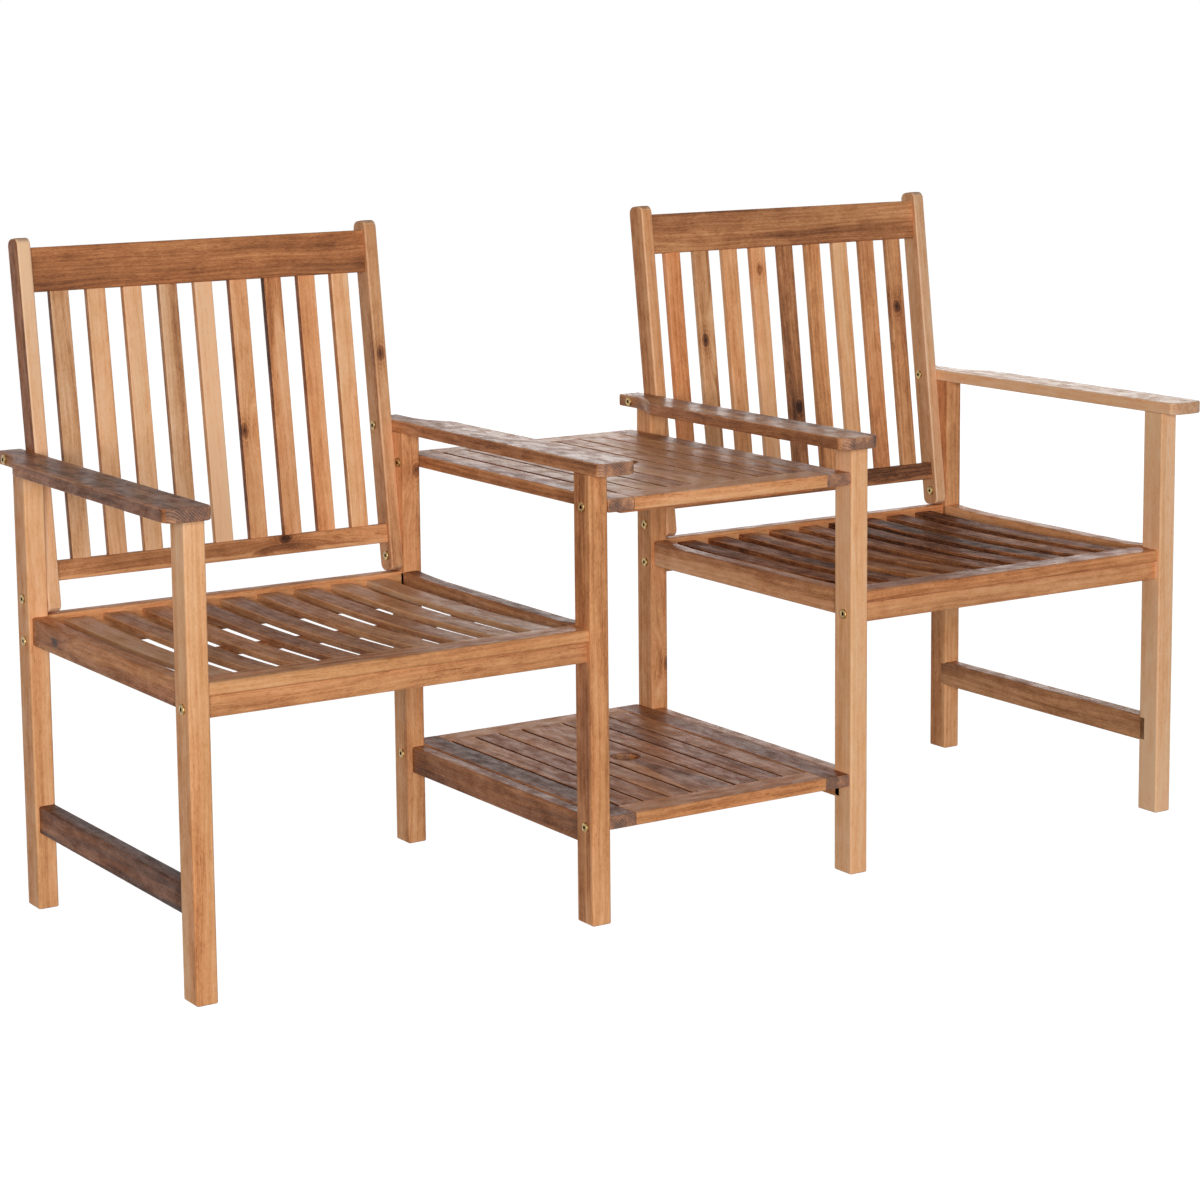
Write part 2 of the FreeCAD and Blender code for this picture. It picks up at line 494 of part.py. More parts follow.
def panel(name, top, front, back, bolt_y, bolt_z):
    """Framed slatted panel: two side stiles that run through, a front and a back rail, slats and a middle board."""
    bottom = top - PANEL_T
    edge_x = TABLE_FACE - PANEL_GAP
    half_middle = MIDDLE_BOARD_W / 2
    stile_x = half_middle + PANEL_SLOT + PANEL_SLATS * (PANEL_SLAT_W + PANEL_SLOT)
    slat_y0, slat_y1 = front + PANEL_FRONT_RAIL, back - PANEL_BACK_RAIL
    mid_z = (top + bottom) / 2

    for side, way in (("left", -1), ("right", 1)):
        stile = ease(block(way * stile_x, way * edge_x, front, back, bottom, top), Y, PANEL_EDGE)
        bolt_x = way * TABLE_FACE
        for y in bolt_y.values():
            stile = stile.cut(rod(vec(bolt_x, y, bolt_z), X * -way, TABLE_BOLT_REACH + 1, BOLT_HOLE))
            nut_x = bolt_x - way * (TABLE_BOLT_REACH - BARREL_BACK)
            stile = stile.cut(rod(vec(nut_x, y, bottom), Z, PANEL_BARREL_L + 0.5, BARREL_HOLE))
        parts[name + "_" + side + "_stile"] = stile

    def tongue(a, b, y0, y1, fit):
        thick = PANEL_TENON_T / 2 + fit
        return block(a - fit, b + fit, y0, y1, mid_z - thick, mid_z + thick)

    def board(a, b):
        piece = ease(block(a, b, slat_y0, slat_y1, bottom, top), Y, PANEL_SLAT_EDGE)
        inset = PANEL_SLAT_EDGE + TENON_FIT
        return piece.fuse(tongue(a + inset, b - inset, slat_y0 - PANEL_TENON_L, slat_y1 + PANEL_TENON_L, 0.0))

    rails = {}
    rails["front"] = block(-stile_x, stile_x, front, slat_y0, bottom, top)
    rails["back"] = block(-stile_x, stile_x, slat_y1, back, bottom, top)
    nose = [e for e in along(rails["front"], X) if abs(e.BoundBox.Center.y - front) < 1e-6]
    rails["front"] = rails["front"].makeChamfer(PANEL_EDGE, nose)
    tail = [e for e in along(rails["back"], X) if abs(e.BoundBox.Center.y - back) < 1e-6]
    rails["back"] = rails["back"].makeChamfer(PANEL_EDGE, tail)

    spans = [(-half_middle, half_middle)]
    for k in range(PANEL_SLATS):
        a = half_middle + PANEL_SLOT + k * (PANEL_SLAT_W + PANEL_SLOT)
        spans += [(a, a + PANEL_SLAT_W), (-a - PANEL_SLAT_W, -a)]
    slats = []
    for a, b in spans:
        slats.append(board(a, b))
        inset = PANEL_SLAT_EDGE + TENON_FIT
        rails["front"] = rails["front"].cut(
            tongue(a + inset, b - inset, slat_y0 - PANEL_TENON_L - TENON_FIT, slat_y0, TENON_FIT))
        rails["back"] = rails["back"].cut(
            tongue(a + inset, b - inset, slat_y1, slat_y1 + PANEL_TENON_L + TENON_FIT, TENON_FIT))
    bore = Part.makeCylinder(UMBRELLA_BORE / 2, PANEL_T, vec(0, 0, bottom), Z)
    middle = slats[0].cut(bore)
    rims = [e for e in middle.Edges if e.Curve.TypeId == "Part::GeomCircle"
            and abs(e.Curve.Radius - UMBRELLA_BORE / 2) < 1e-6]
    parts[name + "_middle_board"] = middle.makeChamfer(UMBRELLA_EDGE, rims)
    parts[name + "_slats"] = Part.makeCompound(slats[1:])
    parts[name + "_front_rail"] = rails["front"]
    parts[name + "_back_rail"] = rails["back"]

    cleats = []
    for y0 in (slat_y0 - CLEAT_W + CLEAT_LAP, slat_y1 - CLEAT_LAP):
        cleat = block(-stile_x, stile_x, y0, y0 + CLEAT_W, bottom - CLEAT_T, bottom)
        cleats.append(ease(cleat, X, PANEL_SLAT_EDGE))
    parts[name + "_cleats"] = Part.makeCompound(cleats)


panel("table", TABLE_TOP, FRONT_LEG_Y + TABLE_FRONT_SET_IN, HALF_DEPTH + TABLE_BACK_OUT, TABLE_BOLT_Y,
      TABLE_BOLT_Z)
panel("shelf", SHELF_TOP, FRONT_LEG_Y + SHELF_FRONT_SET_IN, HALF_DEPTH + SHELF_BACK_OUT, SHELF_BOLT_Y,
      SHELF_BOLT_Z)

parts["seat_rail_bolts"] = Part.makeCompound(rail_bolts)
parts["backrest_bolts"] = Part.makeCompound(back_bolts)
parts["panel_bolts"] = Part.makeCompound(panel_bolts)
parts["sleeve_nuts"] = Part.makeCompound(sleeve_nuts)
parts["barrel_nuts"] = Part.makeCompound(barrel_nuts)

# The arms stand out in front of the legs and the backrests behind, so the whole moves to the middle of its depth.
front_y = FRONT_LEG_Y - ARM_FRONT
back_y = parts["left_chair_left_back_post"].optimalBoundingBox(False, False).YMax
os.makedirs("parts", exist_ok=True)
for name, shape in parts.items():
    shape.translate(Y * (-(front_y + back_y) / 2))
    shape.exportStep("parts/" + name + ".step")
print(len(parts), "pieces written")
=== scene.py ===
import math
import random

import bmesh
import bpy
from mathutils import Matrix, Vector


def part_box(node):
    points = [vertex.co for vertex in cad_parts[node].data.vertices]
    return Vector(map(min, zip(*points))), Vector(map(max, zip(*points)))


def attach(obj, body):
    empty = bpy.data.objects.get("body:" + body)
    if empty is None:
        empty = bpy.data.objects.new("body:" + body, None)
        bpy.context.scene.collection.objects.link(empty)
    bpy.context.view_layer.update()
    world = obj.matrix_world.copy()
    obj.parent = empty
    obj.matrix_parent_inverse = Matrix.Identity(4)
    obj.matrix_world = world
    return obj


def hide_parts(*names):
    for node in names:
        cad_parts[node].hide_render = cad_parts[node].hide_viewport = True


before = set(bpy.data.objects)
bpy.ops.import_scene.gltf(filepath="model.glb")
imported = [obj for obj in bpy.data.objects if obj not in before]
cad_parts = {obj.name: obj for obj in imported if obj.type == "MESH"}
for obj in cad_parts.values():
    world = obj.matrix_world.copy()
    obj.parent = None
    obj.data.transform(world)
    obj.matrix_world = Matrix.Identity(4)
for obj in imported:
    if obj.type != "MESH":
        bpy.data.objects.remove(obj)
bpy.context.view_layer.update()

# Companion seat bench: two slatted armchairs joined by a slatted table with a lower shelf.
# Metres. The front faces -Y.

# Sizes that the pieces share
MIDDLE_Y = -0.01737       # the middle of the legs' depth
OUTER_FACE = 0.8015       # seat side of the outer legs
INNER_FACE = 0.2365       # seat side of the inner legs
LEG_W = 0.030
TENON = 0.012
SLAT_COUNT = 9            # in a seat, and in a backrest
LOW_BOLT_Z = 0.441
CHAIRS = {"left_chair": (-OUTER_FACE, -INNER_FACE), "right_chair": (INNER_FACE, OUTER_FACE)}
# Side frames: where the seat side of the legs is, and which way the seat lies from there
SIDES = {"left_outer": (-OUTER_FACE, 1), "left_inner": (-INNER_FACE, -1), "right_inner": (INNER_FACE, 1),
         "right_outer": (OUTER_FACE, -1)}

# How round the edges are
LEG_EDGE = 0.003
RAIL_EDGE = 0.0028
SEAT_EDGES = {"front_board": 0.0045, "front_apron": 0.002, "back_rail": RAIL_EDGE}
SLAT_EDGE = 0.0015
BACK_SLAT_EDGE = 0.0018
STILE_EDGE, STILE_END_EDGE = 0.0025, 0.0015
PANEL_RAIL_EDGE = 0.002
SAWN_EDGE = 0.0012        # feet of the legs and boards of table and shelf
HOLE_EDGE = 0.0015

# Armrest
ARM_STEP_Y = MIDDLE_Y + 0.193  # where the wide part starts to draw in
ARM_STEP_RUN = 0.038
ARM_NARROWING = 0.027
TONGUE_W = 0.037
ARM_CORNER, ARM_INNER_CORNER, ARM_TAIL_CORNER = 0.020, 0.012, 0.004
ARM_CURVE_OUT, ARM_CURVE_IN = 0.0089, 0.0351  # how far the curves of the step reach from its corners
ARM_TOP_EDGE, ARM_LOW_EDGE = 0.0034, 0.002

# Seat
SEAT_SLAT_W, SEAT_SLAT_T = 0.035, 0.009
SEAT_FRONT_Y, SEAT_BACK_Y = MIDDLE_Y - 0.225, MIDDLE_Y + 0.244
SEAT_FRONT_Z, SEAT_DIP_Z, SEAT_BACK_Z = 0.4115, 0.4055, 0.4085
SEAT_SLAT_FRONT, SEAT_SLAT_BACK = MIDDLE_Y - 0.230, MIDDLE_Y + 0.248
FLAT_Z = 0.4              # height at which a slat is made, before it is bent
SCOOP, SCOOP_FRONT, SCOOP_BACK = 0.004, 0.060, 0.105  # depth of the side rails' scoop, and its two run-ins
SCOOP_REACH = 0.006       # how far below the top the points go down with it

# Backrest
POST_Y = MIDDLE_Y + 0.255  # the post's middle line at its lower bolt
LEAN = math.atan(0.13)    # 13 in 100
POST_W, POST_DEPTH, POST_ROUND = 0.020, 0.036, 0.011
POST_LOW, POST_HIGH = 0.418, 0.935
TOP_RAIL_TOP, TOP_RAIL_H = 0.921, 0.062
BOTTOM_RAIL_LOW, BOTTOM_RAIL_H = 0.460, 0.028
BACK_RAIL_DEPTH = 0.020
BACK_SLAT_W, BACK_SLAT_T = 0.028, 0.012
BACK_SLAT_SINK = 0.002    # how far a slat goes on into a rail

# Table and shelf
HOLE_D = 0.043            # umbrella hole
HOLE_BOARD = (0.35, 0.3, 0.0)  # how dark, how red and how grey its wall is
DRILL_BELOW, DRILL_L = 0.02, 0.07  # how far under the board the drill starts, and its length
MIDDLE_BOARD_W = 0.070
PANEL_SLAT_W = 0.038
SLOT = 0.0035
CLEAT_W = 0.03

# Bolts and nuts
HEAD_D, HEAD_T, HEX_AF, HEX_DEPTH = 0.014, 0.0026, 0.005, 0.002
HEAD_EDGE = 0.0009
SOCKET_REACH = 0.0032     # faces of a head that lie nearer to its middle belong to the socket
SHANK_D = 0.006
SLEEVE_D, SLEEVE_L = 0.0085, 0.004
RAIL_BOLT_L, LOW_BOLT_L, ARM_BOLT_L, PANEL_BOLT_L = 0.072, 0.045, 0.052, 0.060
FRONT_BOLT_Y, BACK_BOLT_Y = MIDDLE_Y - 0.258, MIDDLE_Y + 0.252
RAIL_BOLT_Z = 0.3815
ARM_BOLT_Y, ARM_BOLT_Z = MIDDLE_Y + 0.28396, 0.633
TABLE_BOLT_Z, SHELF_BOLT_Z = 0.5795, 0.1365
TABLE_BOLT_FORWARD = 0.005  # how far the table's back bolts lie in front of the shelf's

# Timber
AXIS = {"x": 0, "y": 1, "z": 2}
GRAIN_ORDER = {"x": (0, 1, 2), "y": (1, 0, 2), "z": (2, 0, 1)}  # along, across and through the board
FAR = 9.0                 # way to a knot or heartwood that a board doesn't have
ROUNDED = 0.94            # below it, the largest part of a normal tells a rounded edge


# Modelling moves

def only(piece):
    """Select one piece and make it the active one."""
    bpy.ops.object.select_all(action="DESELECT")
    piece.select_set(True)
    bpy.context.view_layer.objects.active = piece


def apply_place(piece):
    only(piece)
    bpy.ops.object.transform_apply(location=True, rotation=True, scale=True)


def box(name, low, high):
    """Cube set to its size and place, with the place in its mesh."""
    bpy.ops.object.select_all(action="DESELECT")
    middle = [(a + b) / 2 for a, b in zip(low, high)]
    bpy.ops.mesh.primitive_cube_add(size=1, location=middle)
    piece = bpy.context.object
    piece.name = name
    piece.scale = [b - a for a, b in zip(low, high)]
    apply_place(piece)
    return piece


def rod(place, way, length, diameter, sides=24):
    """Round bar from a place along an axis."""
    bpy.ops.object.select_all(action="DESELECT")
    middle = Vector(place) + Vector(way) * (length / 2)
    bpy.ops.mesh.primitive_cylinder_add(vertices=sides, radius=diameter / 2, depth=length, location=middle,
                                        rotation=Vector(way).to_track_quat("Z", "Y").to_euler())
    piece = bpy.context.object
    apply_place(piece)
    return piece


def edit(piece):
    only(piece)
    bpy.ops.object.mode_set(mode="EDIT")
    bpy.ops.mesh.select_mode(type="EDGE")
    bpy.ops.mesh.select_all(action="DESELECT")


def done():
    bpy.ops.object.mode_set(mode="OBJECT")


def pick(piece, kind, wanted):
    """In edit mode, select what a test says yes to."""
    bpy.ops.mesh.select_all(action="DESELECT")
    mesh = bmesh.from_edit_mesh(piece.data)
    for item in {"VERT": mesh.verts, "EDGE": mesh.edges}[kind]:
        if wanted(item):
            item.select_set(True)
    bmesh.update_edit_mesh(piece.data)


def runs(edge, axis):
    """True for an edge that lies along an axis."""
    way = (edge.verts[1].co - edge.verts[0].co).normalized()
    return abs(way[AXIS[axis]]) > 0.999


def lies_at(edge, axis, place, slack=1e-6):
    """True for an edge with both ends at a place on an axis."""
    return all(abs(v.co[AXIS[axis]] - place) < slack for v in edge.verts)


def middle_of(edge):
    return (edge.verts[0].co + edge.verts[1].co) / 2


def rows_of(piece):
    """In edit mode, the places along Y at which a piece has points."""
    return sorted({round(v.co.y, 6) for v in bmesh.from_edit_mesh(piece.data).verts})


def cut_rows(piece, cuts):
    """Go into edit mode and cut a piece into rows along Y."""
    edit(piece)
    pick(piece, "EDGE", lambda e: runs(e, "y"))
    bpy.ops.mesh.subdivide(number_cuts=cuts)


def lift_row(piece, y, rise, above=0.0):
    """In edit mode, move up the points of one row that lie above a height."""
    pick(piece, "VERT", lambda v: abs(v.co.y - y) < 1e-5 and v.co.z > above)
    bpy.ops.transform.translate(value=(0, 0, rise))


def round_edges(piece, radius, wanted, segments=3):
    edit(piece)
    pick(piece, "EDGE", wanted)
    bpy.ops.mesh.bevel(offset=radius, segments=segments, profile=0.5, affect="EDGES", clamp_overlap=True)
    done()


def carve(piece, cutter):
    only(piece)
    bpy.ops.object.modifier_add(type="BOOLEAN")
    cut = piece.modifiers[-1]
    cut.operation, cut.solver, cut.object = "DIFFERENCE", "EXACT", cutter
    bpy.ops.object.modifier_apply(modifier=cut.name)
    only(cutter)
    bpy.ops.object.delete()


def copy_of(piece, place, way):
    """Own copy of a piece, set at a place and turned to face +X or -X."""
    only(piece)
    bpy.ops.object.duplicate()
    twin = bpy.context.object
    if way < 0:
        twin.rotation_euler = (0, 0, math.pi)
    twin.location = place
    apply_place(twin)
    return twin


def new_fields(mesh, domain, **kinds):
    """Empty attributes of a mesh, by name."""
    for name, kind in kinds.items():
        mesh.attributes.new(name, kind, domain)
    return {name: mesh.attributes[name].data for name in kinds}


def mark_points(mesh, axis, seed, knot, heart):
    """Give the points of a board what its timber is made from.

    grain: place in the log. knot: way to the knot. worn: 1 on rounded edges, for a painted highlight.
    heart: above 0 in heartwood.
    """
    low = [min(v.co[k] for v in mesh.vertices) for k in range(3)]
    high = [max(v.co[k] for v in mesh.vertices) for k in range(3)]
    draw = random.Random(seed)
    start = Vector((draw.uniform(-20, 20), draw.uniform(-0.05, 0.05), draw.uniform(0.01, 0.06)))
    order = GRAIN_ORDER[axis]
    spot = Vector((FAR, FAR, FAR))
    if knot:
        spot = Vector([low[k] + (high[k] - low[k]) * part for k, part in zip(order, knot)])
    fields = new_fields(mesh, "POINT", grain="FLOAT_VECTOR", knot="FLOAT_VECTOR", worn="FLOAT", heart="FLOAT")
    for number, vertex in enumerate(mesh.vertices):
        place = Vector([vertex.co[k] for k in order])
        fields["grain"][number].vector = place + start
        fields["knot"][number].vector = place - spot
        # rounded edges are marked for a painted highlight
        fields["worn"][number].value = 1.0 if max(abs(k) for k in vertex.normal) < ROUNDED else 0.0
        inside = -FAR
        if heart:
            across, edge, way = AXIS[heart[0]], heart[1], heart[2]
            part = (vertex.co[across] - low[across]) / (high[across] - low[across])
            inside = (part - edge) * way
        fields["heart"][number].value = inside


def mark_faces(mesh, axis, board, sides):
    """Give the faces of a board their tone.

    board: how dark, how red and how grey a face is. cut: 1 on faces across the grain.
    """
    tone, red, grey = board
    across = AXIS["y" if axis == "x" else "x"]
    fields = new_fields(mesh, "FACE", board="FLOAT_VECTOR", cut="FLOAT")
    for number, face in enumerate(mesh.polygons):
        # narrow sides get painted shade here, or painted light where sides is below 0
        darker = sides if abs(face.normal[across]) > 0.8 else 0.0
        fields["board"][number].vector = (tone + darker, red, grey)
        fields["cut"][number].value = 1.0 if abs(face.normal[AXIS[axis]]) > 0.6 else 0.0


def grow(piece, axis, seed, tone=0.3, red=0.3, grey=0.0, sides=0.0, knot=None, heart=None):
    """Give a board its own stretch of timber along an axis.

    sides: how much darker its narrow sides are, as painted shade, or as painted light where it is below 0.
    knot: its place, as parts of the board's length, width and thickness. heart: axis, part of the board at
    which heartwood starts, and 1 or -1 for the way it lies.
    """
    mark_points(piece.data, axis, seed, knot, heart)
    mark_faces(piece.data, axis, (tone, red, grey), sides)
    return piece


def timber(name, low, high, axis, edge=RAIL_EDGE, ends=0.0, **tone):
    """Plain board with eased long edges, and eased ends where they show."""
    piece = box(name, low, high)
    round_edges(piece, edge, lambda e: runs(e, axis))
    if ends:
        tips = (low[AXIS[axis]], high[AXIS[axis]])
        round_edges(piece, ends, lambda e: any(lies_at(e, axis, tip, 1e-5) for tip in tips), 2)
    return grow(piece, axis, name, **tone)


def join(pieces, name):
    bpy.ops.object.select_all(action="DESELECT")
    for piece in pieces:
        piece.select_set(True)
    bpy.context.view_layer.objects.active = pieces[0]
    if len(pieces) > 1:
        bpy.ops.object.join()
    whole = bpy.context.object
    whole.name = whole.data.name = name
    return whole


def smooth(whole, degrees):
    """Smooth shading, with sharp edges where faces meet at more than an angle."""
    only(whole)
    bpy.ops.object.shade_smooth_by_angle(angle=math.radians(degrees))
    for modifier in list(whole.modifiers):
        bpy.ops.object.modifier_apply(modifier=modifier.name)


def dress(whole, material):
    whole.data.materials.clear()
    whole.data.materials.append(material)


def finish(pieces, name, material, slot, *nodes):
    """Join the boards of one node, smooth them and hang them on the frame."""
    whole = join(pieces, name)
    smooth(whole, 50)
    bpy.ops.object.modifier_add(type="WEIGHTED_NORMAL")
    whole.modifiers[-1].keep_sharp = True
    bpy.ops.object.modifier_apply(modifier=whole.modifiers[-1].name)
    dress(whole, material)
    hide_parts(*nodes)
    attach(whole, "root")


def hold(pieces, name, node):
    """Join the fasteners of one node, smooth them and hang them on the frame."""
    whole = join(pieces, name)
    smooth(whole, 35)
    dress(whole, BRASS)
    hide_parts(node)
    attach(whole, "root")


# Finishes

def colour(red, green, blue):
    """Colour as a screen shows it, 0 to 255, in the linear values that shaders take."""
    values = []
    for value in (red, green, blue):
        value /= 255
        values.append(value / 12.92 if value <= 0.04045 else ((value + 0.055) / 1.055) ** 2.4)
    return (*values, 1.0)


def add(tree, kind, **values):
    """Node with its settings, named with a _ in front, and its sockets filled or wired by name or number."""
    node = tree.nodes.new(kind)
    for key, value in values.items():
        if key.startswith("_"):
            setattr(node, key[1:], value)
    for key, value in values.items():
        if key.startswith("_"):
            continue
        numbered = key[0] == "i" and key[1:].isdigit()
        socket = node.inputs[int(key[1:]) if numbered else key.replace("_", " ")]
        if isinstance(value, bpy.types.NodeSocket):
            tree.links.new(value, socket)
        else:
            socket.default_value = value
    return node


def calc(tree, operation, a, b=0.0, c=0.0):
    return add(tree, "ShaderNodeMath", _operation=operation, i0=a, i1=b, i2=c).outputs[0]


def plus(tree, value, amount, total):
    return calc(tree, "MULTIPLY_ADD", value, amount, total)


def less_half(tree, value):
    return calc(tree, "SUBTRACT", value, 0.5)


def length(tree, vector):
    return add(tree, "ShaderNodeVectorMath", _operation="LENGTH", i0=vector).outputs[1]


def span(tree, value, from_low, from_high, to_low=0.0, to_high=1.0):
    """Map one range on another with a soft start and stop."""
    node = add(tree, "ShaderNodeMapRange", _interpolation_type="SMOOTHSTEP", i0=value, i1=from_low,
               i2=from_high, i3=to_low, i4=to_high)
    return node.outputs[0]


def blend(tree, amount, a, b, mode="MIX"):
    node = add(tree, "ShaderNodeMix", _data_type="RGBA", _blend_type=mode, i0=amount, i6=a, i7=b)
    return node.outputs[2]


def stretch(tree, vector, scale):
    return add(tree, "ShaderNodeMapping", Vector=vector, Scale=scale).outputs[0]


def noise(tree, vector, scale, detail=2.0, rough=0.5, warp=0.0):
    node = add(tree, "ShaderNodeTexNoise", Vector=stretch(tree, vector, scale), Scale=1.0, Detail=detail,
               Roughness=rough, Distortion=warp)
    return node.outputs[0]


def new_group(name, inputs, outputs):
    group = bpy.data.node_groups.new(name, "ShaderNodeTree")
    for label, kind, value in inputs:
        socket = group.interface.new_socket(name=label, in_out="INPUT", socket_type="NodeSocket" + kind)
        if value is not None:
            socket.default_value = value
    for label, kind in outputs:
        group.interface.new_socket(name=label, in_out="OUTPUT", socket_type="NodeSocket" + kind)
    return group, group.nodes.new("NodeGroupInput").outputs, group.nodes.new("NodeGroupOutput").inputs


def new_material(name):
    material = bpy.data.materials.new(name)
    material.use_nodes = True
    material.node_tree.nodes.clear()
    return material, material.node_tree


def show(tree, shader, kind="Material"):
    """Wire a shader to the output of a material or of the world."""
    output = add(tree, "ShaderNodeOutput" + kind)
    tree.links.new(shader.outputs[0], output.inputs[0])


def knot_marks(tree, knot, mottle):
    """Round a knot: where the grain parts, the core, the halo, and the way to the ragged knot."""
    near = length(tree, stretch(tree, knot, (0.62, 1.0, 1.0)))
    near = plus(tree, less_half(tree, mottle), 0.012, near)
    parting = span(tree, length(tree, stretch(tree, knot, (0.30, 1.0, 1.0))), 0.0, 0.030, 1.0, 0.0)
    core = span(tree, near, 0.0030, 0.0085, 1.0, 0.0)
    halo = span(tree, near, 0.004, 0.026, 1.0, 0.0)
    return parting, core, halo, near


def bend_grain(tree, grain, knot, parting):
    """The grain drifts along the board, parts round a knot and closes again behind it."""
    drift = add(tree, "ShaderNodeTexNoise", Vector=stretch(tree, grain, (2.4, 7.0, 7.0)), Scale=1.0,
                Detail=2.0)
    sway = add(tree, "ShaderNodeVectorMath", _operation="MULTIPLY_ADD", i0=drift.outputs[1],
               i1=(0.0, 0.035, 0.035), i2=grain).outputs[0]
    aside = add(tree, "ShaderNodeVectorMath", _operation="SCALE", i0=stretch(tree, knot, (0.0, 1.0, 1.0)),
                Scale=calc(tree, "MULTIPLY", parting, 1.9)).outputs[0]
    return add(tree, "ShaderNodeVectorMath", _operation="ADD", i0=sway, i1=aside).outputs[0]


def timber_colour(tree, depth):
    """From the palest sapwood to the dark of a knot."""
    ramp = add(tree, "ShaderNodeValToRGB", Fac=plus(tree, depth, 0.8, 0.2))
    stops = ((0.0, (255, 212, 168)), (0.2, (248, 193, 142)), (0.4, (229, 165, 111)), (0.6, (186, 123, 78)),
             (0.8, (131, 83, 54)), (1.0, (62, 38, 27)))
    while len(ramp.color_ramp.elements) < len(stops):
        ramp.color_ramp.elements.new(0.5)
    for stop, (place, shade) in zip(ramp.color_ramp.elements, stops):
        stop.position = place
        stop.color = colour(*shade)
    return ramp.outputs[0]


def make_acacia():
    """Oiled hardwood.

    Its tone wanders in soft bands and blotches. It has fibres, specks and short pores, knots with rings round
    them, darker heartwood, a painted highlight on rounded edges and a patchy film of oil.
    """
    tree, given, out = new_group(
        "acacia",
        [("Grain", "Vector", None), ("Knot", "Vector", None), ("Board", "Vector", None),
         ("Heart", "Float", -FAR), ("Worn", "Float", 0.0), ("Cut", "Float", 0.0), ("Figure", "Float", 1.0),
         ("Pores", "Float", 1.0), ("Film", "Float", 0.3)],
        [("Color", "Color"), ("Height", "Float"), ("Roughness", "Float"), ("Film", "Float")])
    grain, knot, cut = given["Grain"], given["Knot"], given["Cut"]
    tone, red, grey = add(tree, "ShaderNodeSeparateXYZ", i0=given["Board"]).outputs

    # the patterns of the figure
    mottle = noise(tree, grain, (30.0, 64.0, 64.0), 4.0, 0.65)
    parting, core, halo, near_knot = knot_marks(tree, knot, mottle)
    bent = bend_grain(tree, grain, knot, parting)
    wide = noise(tree, bent, (1.7, 15.0, 15.0), 2.0, 0.5)
    patch = noise(tree, grain, (3.0, 34.0, 34.0), 2.0, 0.5)
    streaks = noise(tree, bent, (0.9, 44.0, 44.0), 3.0, 0.55, 0.3)
    rings = add(tree, "ShaderNodeTexWave", _wave_type="RINGS", _rings_direction="X",
                Vector=stretch(tree, bent, (0.2, 1.0, 1.0)), Scale=42.0, Distortion=3.0, Detail=3.0,
                Detail_Scale=1.5, Detail_Roughness=0.6).outputs[1]
    bands = noise(tree, bent, (1.6, 170.0, 170.0), 3.0, 0.6)
    fibre = noise(tree, bent, (8.0, 620.0, 620.0), 2.0, 0.65)
    pores = noise(tree, grain, (75.0, 700.0, 700.0), 2.0, 0.6)
    speck = noise(tree, grain, (190.0, 820.0, 820.0), 2.0, 0.6)
    patchy = span(tree, patch, 0.44, 0.62, 0.25, 1.0)
    dashes = calc(tree, "MULTIPLY", span(tree, pores, 0.58, 0.70), patchy)

    # how dark the wood is at a place
    shift = calc(tree, "MULTIPLY", less_half(tree, wide), 0.70)
    for pattern, amount in ((streaks, 0.60), (bands, 0.30), (mottle, 0.42), (rings, 0.07), (fibre, 0.36),
                            (speck, 0.34)):
        shift = plus(tree, less_half(tree, pattern), amount, shift)
    depth = plus(tree, shift, given["Figure"], tone)
    heartwood = span(tree, plus(tree, less_half(tree, streaks), 1.1, given["Heart"]), -0.05, 0.10)
    depth = plus(tree, heartwood, 0.24, depth)
    depth = plus(tree, dashes, calc(tree, "MULTIPLY", given["Pores"], 0.30), depth)
    circles = calc(tree, "SINE", plus(tree, near_knot, 1500.0, calc(tree, "MULTIPLY", streaks, 9.0)))
    depth = plus(tree, halo, plus(tree, circles, 0.07, 0.17), depth)
    depth = plus(tree, core, 0.42, depth)
    depth = plus(tree, cut, plus(tree, less_half(tree, mottle), 1.5, 0.12), depth)
    # rounded edges painted paler: a painted highlight
    depth = plus(tree, given["Worn"], -0.20, depth)

    plain = timber_colour(tree, depth)
    reddish = blend(tree, 1.0, plain, (1.05, 0.80, 0.70, 1.0), "MULTIPLY")
    greyish = blend(tree, 1.0, plain, (0.86, 0.93, 1.06, 1.0), "MULTIPLY")
    warm = blend(tree, plus(tree, less_half(tree, patch), 1.1, red), plain, reddish)
    toned = blend(tree, plus(tree, less_half(tree, wide), 0.8, grey), warm, greyish)

    # faces across the grain are dull and show the saw
    saw = add(tree, "ShaderNodeTexWave", _wave_type="BANDS", _bands_direction="DIAGONAL", Vector=grain,
              Scale=150.0, Distortion=4.0, Detail=2.0).outputs[1]
    sawn = blend(tree, 0.42, toned, blend(tree, saw, colour(146, 110, 97), colour(206, 172, 152)))
    tree.links.new(blend(tree, cut, toned, sawn), out["Color"])
    height = plus(tree, fibre, 0.6, calc(tree, "MULTIPLY", dashes, -0.8))
    height = plus(tree, speck, 0.5, height)
    height = plus(tree, core, -0.6, height)
    height = plus(tree, calc(tree, "MULTIPLY", saw, cut), 0.5, height)
    tree.links.new(height, out["Height"])
    rubbed = plus(tree, mottle, 1.2, calc(tree, "MULTIPLY", speck, 0.5))
    tree.links.new(plus(tree, cut, 0.2, span(tree, rubbed, 0.65, 1.1, 0.40, 0.62)), out["Roughness"])
    oiled = span(tree, plus(tree, speck, 0.5, mottle), 0.60, 0.95, 1.2, 0.4)
    oiled = calc(tree, "MULTIPLY", oiled, given["Film"])
    tree.links.new(calc(tree, "MULTIPLY", oiled, plus(tree, cut, -0.7, 1.0)), out["Film"])
    return tree


